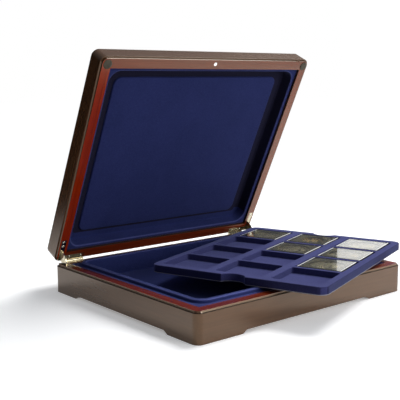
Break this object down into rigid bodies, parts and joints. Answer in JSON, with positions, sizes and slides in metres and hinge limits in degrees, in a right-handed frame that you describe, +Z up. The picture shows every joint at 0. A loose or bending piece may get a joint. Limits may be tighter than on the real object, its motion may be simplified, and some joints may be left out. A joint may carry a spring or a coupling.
{
  "type": "coin case",
  "caption": "Lacquered wooden coin case, its hinged lid leaning open, with a blue flocked lining and a lift-out tray of square clear coin capsules laid across the mouth.",
  "frame": {"origin": "middle of the plane that the four bracket feet stand on, under the middle of the base", "axes": "+X along the hinge, to the right seen from the front; +Y from the front to the hinge; +Z up, out of the base's mouth"},
  "size_m": [0.3587, 0.3227, 0.2756],
  "materials": {
    "lacquered_wood": "gloss",
    "bottom_board": "satin",
    "lining_flock": "matte",
    "tray_flock": "matte",
    "hinge_brass": "polished",
    "screw_brass": "polished",
    "catch_metal": "polished",
    "bumper_rubber": "matte",
    "clear_plastic": "gloss",
    "insert_foam": "matte",
    "silver_coin": "satin",
    "gold_coin": "satin"
  },
  "bodies": {
    "base": {"base_front_board": "lacquered_wood", "base_back_board": "lacquered_wood", "base_left_board": "lacquered_wood", "base_right_board": "lacquered_wood", "base_bottom_panel": "bottom_board", "base_lining": "lining_flock", "base_magnet": "catch_metal", "base_leaf_left": "hinge_brass", "base_leaf_right": "hinge_brass", "hinge_pin_left": "hinge_brass", "hinge_pin_right": "hinge_brass", "base_leaf_screws": "screw_brass"},
    "lid": {"lid_front_board": "lacquered_wood", "lid_back_board": "lacquered_wood", "lid_left_board": "lacquered_wood", "lid_right_board": "lacquered_wood", "lid_top_panel": "lacquered_wood", "lid_lining": "lining_flock", "lid_pad": "lining_flock", "lid_magnet": "catch_metal", "bumper_left": "bumper_rubber", "bumper_right": "bumper_rubber", "lid_leaf_left": "hinge_brass", "lid_leaf_right": "hinge_brass", "stop_quadrant_left": "hinge_brass", "stop_quadrant_right": "hinge_brass", "lid_leaf_screws": "screw_brass"},
    "tray": {"tray_shell": "tray_flock"},
    "capsule_1": {"capsule_1_base": "clear_plastic", "capsule_1_insert": "insert_foam", "coin_1": "silver_coin"},
    "cover_1": {"capsule_1_cover": "clear_plastic"},
    "capsule_2": {"capsule_2_base": "clear_plastic", "capsule_2_insert": "insert_foam", "coin_2": "gold_coin"},
    "cover_2": {"capsule_2_cover": "clear_plastic"},
    "capsule_3": {"capsule_3_base": "clear_plastic", "capsule_3_insert": "insert_foam", "coin_3": "silver_coin"},
    "cover_3": {"capsule_3_cover": "clear_plastic"},
    "capsule_4": {"capsule_4_base": "clear_plastic", "capsule_4_insert": "insert_foam", "coin_4": "silver_coin"},
    "cover_4": {"capsule_4_cover": "clear_plastic"},
    "capsule_5": {"capsule_5_base": "clear_plastic", "capsule_5_insert": "insert_foam", "coin_5": "silver_coin"},
    "cover_5": {"capsule_5_cover": "clear_plastic"},
    "capsule_6": {"capsule_6_base": "clear_plastic", "capsule_6_insert": "insert_foam", "coin_6": "silver_coin"},
    "cover_6": {"capsule_6_cover": "clear_plastic"}
  },
  "joints": [
    {"name": "lid_hinge", "type": "hinge", "parent": "base", "child": "lid", "pos_m": [0, 0.129, 0.0331], "axis": [1, 0, 0], "range_deg": [0, 65]},
    {"name": "tray_slide", "type": "slide", "parent": "base", "child": "tray", "axis": [0, -1, 0], "range_m": [0, 0.2625]},
    {"name": "capsule_1_lift", "type": "slide", "parent": "tray", "child": "capsule_1", "axis": [0, 0, 1], "range_m": [0, 0.02]},
    {"name": "cover_1_lift", "type": "slide", "parent": "capsule_1", "child": "cover_1", "axis": [0, 0, 1], "range_m": [0, 0.008]},
    {"name": "capsule_2_lift", "type": "slide", "parent": "tray", "child": "capsule_2", "axis": [0, 0, 1], "range_m": [0, 0.02]},
    {"name": "cover_2_lift", "type": "slide", "parent": "capsule_2", "child": "cover_2", "axis": [0, 0, 1], "range_m": [0, 0.008]},
    {"name": "capsule_3_lift", "type": "slide", "parent": "tray", "child": "capsule_3", "axis": [0, 0, 1], "range_m": [0, 0.02]},
    {"name": "cover_3_lift", "type": "slide", "parent": "capsule_3", "child": "cover_3", "axis": [0, 0, 1], "range_m": [0, 0.008]},
    {"name": "capsule_4_lift", "type": "slide", "parent": "tray", "child": "capsule_4", "axis": [0, 0, 1], "range_m": [0, 0.02]},
    {"name": "cover_4_lift", "type": "slide", "parent": "capsule_4", "child": "cover_4", "axis": [0, 0, 1], "range_m": [0, 0.008]},
    {"name": "capsule_5_lift", "type": "slide", "parent": "tray", "child": "capsule_5", "axis": [0, 0, 1], "range_m": [0, 0.02]},
    {"name": "cover_5_lift", "type": "slide", "parent": "capsule_5", "child": "cover_5", "axis": [0, 0, 1], "range_m": [0, 0.008]},
    {"name": "capsule_6_lift", "type": "slide", "parent": "tray", "child": "capsule_6", "axis": [0, 0, 1], "range_m": [0, 0.02]},
    {"name": "cover_6_lift", "type": "slide", "parent": "capsule_6", "child": "cover_6", "axis": [0, 0, 1], "range_m": [0, 0.008]}
  ],
  "couplings": [
    {"joint": "tray_slide", "follows": "lid_hinge", "m_per_rad": 0.231}
  ]
}
